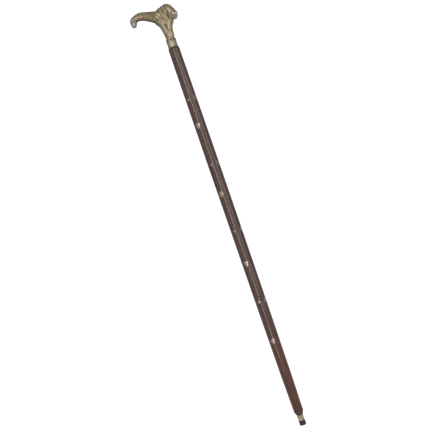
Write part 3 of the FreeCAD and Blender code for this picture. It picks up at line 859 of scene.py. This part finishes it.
def lock_tree():
    """Sweep a flat fluted oval along each guide, as wide as the guide says."""
    tree = bpy.data.node_groups.new("swept_locks", "GeometryNodeTree")
    inputs = [("Guides", "NodeSocketGeometry", None), ("Profile Points", "NodeSocketInt", 32),
              ("Thickness Share", "NodeSocketFloat", 0.5), ("Flutes", "NodeSocketInt", 8),
              ("Flute Depth", "NodeSocketFloat", 0.12), ("Finish", "NodeSocketMaterial", None)]
    for name, kind, value in inputs:
        socket = tree.interface.new_socket(name, in_out="INPUT", socket_type=kind)
        if value is not None:
            socket.default_value = value
    tree.interface.new_socket("Locks", in_out="OUTPUT", socket_type="NodeSocketGeometry")
    given = add(tree, "NodeGroupInput").outputs
    lines = add(tree, "GeometryNodeMeshToCurve", Mesh=given["Guides"])
    outward = add(tree, "GeometryNodeInputNamedAttribute", {"data_type": "FLOAT_VECTOR"},
                  Name="outward")
    width = add(tree, "GeometryNodeInputNamedAttribute", {"data_type": "FLOAT"},
                Name="half_width")
    facing = add(tree, "GeometryNodeSetCurveNormal", {"mode": "FREE"}, Curve=lines.outputs[0],
                 Normal=outward.outputs[0])
    ring = add(tree, "GeometryNodeCurvePrimitiveCircle", Resolution=given["Profile Points"],
               Radius=1.0)
    spot = add(tree, "GeometryNodeInputPosition").outputs[0]
    apart = add(tree, "ShaderNodeSeparateXYZ", i0=spot).outputs
    angle = maths(tree, "ARCTAN2", apart["Y"], apart["X"])
    wave = maths(tree, "COSINE", maths(tree, "MULTIPLY", angle, given["Flutes"]))
    depth = maths(tree, "MULTIPLY_ADD", wave, given["Flute Depth"], 1.0)
    flat = add(tree, "ShaderNodeCombineXYZ", X=given["Thickness Share"], Y=1.0, Z=1.0)
    fluted = add(tree, "ShaderNodeVectorMath", {"operation": "SCALE"}, i0=spot, Scale=depth)
    shaped = add(tree, "ShaderNodeVectorMath", {"operation": "MULTIPLY"}, i0=fluted.outputs[0],
                 i1=flat.outputs[0])
    profile = add(tree, "GeometryNodeSetPosition", Geometry=ring.outputs[0],
                  Position=shaped.outputs[0])
    swept = add(tree, "GeometryNodeCurveToMesh", Curve=facing.outputs[0],
                Profile_Curve=profile.outputs[0], Scale=width.outputs[0], Fill_Caps=True)
    real = add(tree, "GeometryNodeRealizeInstances", Geometry=swept.outputs[0])
    finished = add(tree, "GeometryNodeSetMaterial", Geometry=real.outputs[0],
                   Material=given["Finish"])
    add(tree, "NodeGroupOutput", Locks=finished.outputs[0])
    return tree


def swept_locks(name, guides, tree, **values):
    """The locks of some guides as one plain mesh."""
    piece = link(name, guide_mesh(guides))
    sweep = piece.modifiers.new("sweep", "NODES")
    sweep.node_group = tree
    identifiers = {item.name: item.identifier for item in tree.interface.items_tree}
    for key, value in values.items():
        sweep[identifiers[key.replace("_", " ")]] = value
    return evaluated(piece, name)


LOCKS = lock_tree()
mane = swept_locks("mane_locks", mane_guides, LOCKS, Thickness_Share=0.44, Flute_Depth=0.06,
                   Finish=FINISHES["antique_brass"])
print("mane:", len(mane.vertices), "points in", len(mane_guides), "locks")

# %% [markdown]
# ### One skin and the last strokes
#
# Clay and locks are wrapped in one fine skin, because the real handle is one piece of metal. Then
# come the small strokes: lids, nostrils, mouth, whisker rows, the scroll at the end of the grip.

# %% The casting's skin
FINE_VOXEL = 0.43 * MM
CALM_ROUNDS, HAIR_ENDS_CALMED = 12, 0.8
PIT_DEPTH = (0.22, 0.60)
RIDGE_ROUNDS, RIDGE_WORN = 90, 0.9
skin = one_skin([clay, mane], "lion_head_handle", FINE_VOXEL)
points = relaxed(skin, points_of(skin), 1)
move_points(skin, points)
# wax runs into pits, and the carver blends the roots and the tips of the hair into the form
calm = relaxed(skin, points, CALM_ROUNDS)
lifted = ((calm - points) * normals_of(skin)).sum(axis=1) / MM
places = place_in_flow(points)
hair_end = np.maximum(faded(places[:, 1], 0.15, 0.04), faded(places[:, 1], 0.88, 0.97))
on_hair = faded(places[:, 2], 3.5, 2.5)
blend = np.maximum(faded(lifted, *PIT_DEPTH), HAIR_ENDS_CALMED * hair_end * on_hair)
points += blend[:, None] * (calm - points)
# along the ridge behind the crown the roots are worn to one smooth line
worn = relaxed(skin, points, RIDGE_ROUNDS)
ridge = RIDGE_WORN * faded(places[:, 1], 0.16, 0.03) * faded(places[:, 0], 0.50, 0.36)
points += (ridge * faded(places[:, 2], 4.5, 3.0))[:, None] * (worn - points)
# the foot stays flat and tight on its ring
points[points[:, 2] < HANDLE_LOW.z + FINE_VOXEL, 2] = HANDLE_LOW.z
move_points(skin, points)

# %% Fine strokes
FINE_STROKES = [
    # brows
    ([(23.9, 2.0, 57.6), (22.0, 5.4, 60.2), (18.6, 8.8, 58.8)], 1.1, 0.8),
    # the slit round the eyeball, then the upper and the lower lid
    ([(25.0, 2.7, 53.4), (24.4, 5.0, 56.2), (21.4, 8.2, 55.8), (23.4, 6.0, 53.2),
      (25.0, 2.7, 53.4)], 0.42, -0.45),
    ([(25.0, 2.6, 54.4), (24.2, 5.0, 57.2), (20.6, 8.6, 56.6)], 0.6, 0.7),
    ([(24.8, 3.2, 52.4), (23.6, 5.8, 52.0), (21.0, 8.2, 54.2)], 0.55, 0.45),
    # pupils
    ([(24.5, 5.2, 54.9), (24.4, 5.4, 54.6)], 0.5, -0.5),
    # edges of the nose bridge
    ([(24.2, 2.6, 55.6), (27.0, 2.6, 50.4), (29.3, 2.8, 46.2)], 0.8, -0.4),
    # upper edge of the nose pad, nostrils, and the line below the nose
    ([(29.8, 3.4, 44.6), (30.6, 1.4, 46.0), (30.7, 0.0, 46.2)], 0.5, -0.45),
    ([(31.6, 1.2, 42.8), (31.0, 2.7, 43.4)], 0.65, -1.0),
    ([(31.9, 0.0, 41.8), (31.4, 0.0, 38.0)], 0.55, -0.9),
    # mouth
    ([(31.2, 0.0, 37.8), (30.2, 2.6, 36.6), (27.2, 5.6, 36.4), (24.0, 7.4, 37.4),
      (21.8, 8.4, 39.4)], 0.6, -1.3),
    # the cheekbone
    ([(15.9, 10.4, 54.6), (16.4, 11.0, 49.0), (17.2, 10.4, 42.6)], 2.0, 0.7),
    ([(19.3, 8.8, 51.4), (19.7, 9.0, 47.8)], 1.4, 0.5),
    # hollow of the ear
    ([(14.2, 11.2, 60.0), (14.4, 11.4, 56.8)], 1.2, -1.2),
    # two heavy waves of hair in the middle of the mane, and the valley behind them
    ([(10.3, 13.0, 52.4), (6.2, 13.6, 43.6), (3.1, 11.5, 28.6)], 2.1, 0.7),
    ([(8.4, 13.0, 40.0), (8.3, 12.0, 33.0), (9.6, 10.5, 29.0)], 1.6, 0.6),
    ([(-4.8, 13.5, 50.0), (-3.0, 13.5, 43.0), (-0.6, 12.0, 33.0)], 1.6, -0.7),
    # the ends of the hair run down the neck as two low folds with a valley between them
    ([(-6.2, 9.0, 25.5), (-4.7, 9.0, 18.8), (-2.7, 9.5, 9.5)], 1.9, 0.8),
    ([(3.7, 10.0, 25.5), (4.7, 9.5, 14.5)], 1.6, 0.6),
    ([(0.2, 10.0, 25.5), (0.7, 9.8, 12.5)], 1.7, -0.8),
    # scroll at the end of the grip: a ring groove, the ridge above it and the flutes of the bud
    ([(-68.8, 0.0, 51.4), (-66.4, 5.4, 51.0), (-61.8, 6.8, 51.6), (-57.4, 3.2, 53.6),
      (-56.6, 0.0, 54.0)], 0.9, -1.4),
    ([(-57.5, 6.6, 61.0), (-63.4, 6.4, 58.6), (-66.0, 5.6, 54.0)], 1.5, 0.5),
    ([(-66.8, 3.6, 49.4), (-64.4, 2.8, 41.4)], 0.6, -0.6),
    ([(-62.6, 6.2, 49.4), (-62.4, 4.4, 41.0)], 0.6, -0.6),
    ([(-58.6, 4.4, 50.6), (-60.4, 3.2, 42.0)], 0.6, -0.6),
]
WHISKER_ROWS, WHISKERS_IN_A_ROW = 3, 4
for row in range(WHISKER_ROWS):
    for place in range(WHISKERS_IN_A_ROW):
        x, y, height = 29.6 - 1.5 * place, 4.9 + 0.9 * place, 41.6 - 1.4 * row - 0.3 * place
        FINE_STROKES.append(([(x, y, height), (x - 0.3, y, height - 0.3)], 0.38, -0.4))
carve(skin, FINE_STROKES)
print("carved", len(FINE_STROKES), "fine strokes")

# %% [markdown]
# ### Strands in the locks
#
# The carver ends a lock with a small gouge that leaves one groove beside the other, all of them
# along the hair. The flow already says where each point lies across and down the mane, so the
# grooves are a wave of the share across. It wanders a little, and dies out where no hair grows.

# %% Strands
STRANDS, STRAND_DEPTH, STRAND_WANDER = 36, 0.16, 0.012
FLOW_ROUNDS = 6
points, normals = points_of(skin), normals_of(skin)
places = relaxed(skin, place_in_flow(points), FLOW_ROUNDS)
cover = (faded(places[:, 2], 3.2, 2.2) * faded(places[:, 1], -0.02, 0.05)
         * faded(places[:, 1], 1.0, 0.93))
for index in np.flatnonzero(cover > 0):
    across, down, _ = places[index]
    wander = noise.noise(Vector((across * 9, down * 2.5, 0.5)))
    groove = math.cos(2 * math.pi * STRANDS * (across + STRAND_WANDER * wander))
    strength = 0.6 + 0.8 * noise.noise(Vector((across * 30, down * 4, 7.5)))
    points[index] += normals[index] * STRAND_DEPTH * MM * cover[index] * strength * groove
move_points(skin, points)
print("strands on", int((cover > 0).sum()), "points")

# %% [markdown]
# ### Low relief of the grip
#
# The grip isn't plain: it carries a low, worn relief, like short fur laid along it. Noise that is
# stretched along the grip gives that, moved into the real surface so that it also shows in profile.
# It fades out before the mane and on the curled end.

# %% Fur of the grip
FUR_HEIGHT = 0.34
FUR_LONG, FUR_WIDE = 6.0, 2.4

points, normals = points_of(skin), normals_of(skin)
x, y = points[:, 0] / MM, points[:, 1] / MM
height = (points[:, 2] - BASE_LINE) / MM
# the mane's lower edge leans, so the fade follows x and height together
furry = (faded(-(x + 0.45 * (height - 50)), 17, 23) * faded(height, 50.0, 53.0)
         * faded(height, 26, 36))
for index in np.flatnonzero(furry > 0):
    spot = Vector((x[index] / FUR_LONG, y[index] / FUR_WIDE, height[index] / FUR_WIDE))
    swell = noise.noise(spot) + 0.5 * noise.noise(spot * 2.3)
    points[index] += normals[index] * FUR_HEIGHT * MM * furry[index] * swell
move_points(skin, points)
print("fur on", int((furry > 0).sum()), "points")

# %% [markdown]
# ### Where the patina stays
#
# The polisher's wheel only reaches what stands out. How deep a point lies is found by relaxing the
# whole skin, which pulls ridges in and lifts hollows. The way that each point would move outwards
# is measured once for fine creases and once for broad hollows. Hands and the wheel change their sum
# in a few places, which also paints highlight and shade where the lamps fall, and the result is
# stored on the mesh, where the finish reads it.

# %% Depth of each point
CREASE_ROUNDS, CREASE_DEPTH = 8, 0.36
BASIN_ROUNDS, BASIN_DEPTH = 60, 1.4


def depth_of(mesh, rounds, full_depth):
    """How deep each point lies: 0 on a ridge, 0.5 level with its surroundings, 1 in a hollow."""
    points = points_of(mesh)
    lifted = ((relaxed(mesh, points, rounds, 0.8) - points) * normals_of(mesh)).sum(axis=1)
    return np.clip(0.5 + 0.5 * lifted / (full_depth * MM), 0, 1)


creases = depth_of(skin, CREASE_ROUNDS, CREASE_DEPTH)
basins = depth_of(skin, BASIN_ROUNDS, BASIN_DEPTH)
print("depth: creases", round(float(creases.mean()), 2), "basins", round(float(basins.mean()), 2))

# %% Where hands have been, and where highlight and shade are painted
PATINA_EVERYWHERE, PATINA_IN_CREASES, PATINA_IN_BASINS = 0.10, 0.32, 0.48
# how much the buffed patches lighten the patina, partly as painted highlight, and the spared ones
# darken it, partly as painted shade
BUFFED_AND_HIGHLIT_SHARE, SPARED_AND_SHADED_SHARE = 0.16, 0.06
points = points_of(skin)
x, height = points[:, 0] / MM, (points[:, 2] - BASE_LINE) / MM
# the end of the grip, the crown and the brow down to the muzzle, and the foot of the neck; on the
# crown and the front of the face this grey is painted shade
rubbed = np.maximum.reduce([faded(-x, 44, 58), faded(height, 57, 63) * faded(x, -8, 2),
                            faded(x, 18, 25), 0.6 * faded(height, 30, 12) * faded(-x, 0, 6)])
# the palm darkens the grip a little on top and fully on its underside, which is painted shade
palm = faded(-x, 8, 20) * faded(-x, 60, 48) * (0.35 + 0.65 * faded(height, 62, 50))
# the root of the thumb buffs the back of the mane and the neck below it, and the wheel catches the
# cheekbones, the muzzle and the throat; the paler patches on the left of the neck, on the
# cheekbones and on the muzzle are also painted highlight
buffed_and_highlit = np.maximum.reduce([
    faded(np.hypot((x + 10.5) / 6, (height - 46) / 7), 1.4, 0.4),
    0.85 * faded(x, -2, -5) * faded(height, 32, 24) * faded(height, 4, 10),
    faded(np.hypot((x - 17.5) / 3.5, (height - 51) / 6), 1.3, 0.5),
    0.4 * faded(x, 21, 25), 0.35 * faded(x, 3, 6) * faded(height, 38, 30)])
# the wheel misses the crown and the middle of the neck, so they stay a little darker, which is also
# painted shade of the crown's edge and of the valley in the neck
spared_and_shaded = np.maximum(faded(height, 60, 65) * faded(x, -4, 2),
                    faded(np.abs(x - 0.5), 4.5, 1.5) * faded(height, 32, 24) * faded(height, 6, 12))
patina = PATINA_EVERYWHERE + PATINA_IN_CREASES * creases + PATINA_IN_BASINS * basins
# the patina, lightened by the painted highlight and darkened by the painted shade
hollow = np.clip(patina - BUFFED_AND_HIGHLIT_SHARE * buffed_and_highlit + SPARED_AND_SHADED_SHARE * spared_and_shaded, 0, 1)
for name, shares in (("hollow", hollow), ("rubbed", rubbed), ("palm", palm)):
    skin.attributes.new(name, "FLOAT", "POINT").data.foreach_set("value", shares)
    print(name, "on average", round(float(shares.mean()), 2))

# %% Handle piece
skin.materials.clear()
skin.materials.append(FINISHES["antique_brass"])
skin.polygons.foreach_set("use_smooth", [True] * len(skin.polygons))
handle = link("lion_head_handle", skin)
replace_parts(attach(handle, "root"), "handle")
print("handle:", len(skin.polygons), "faces")
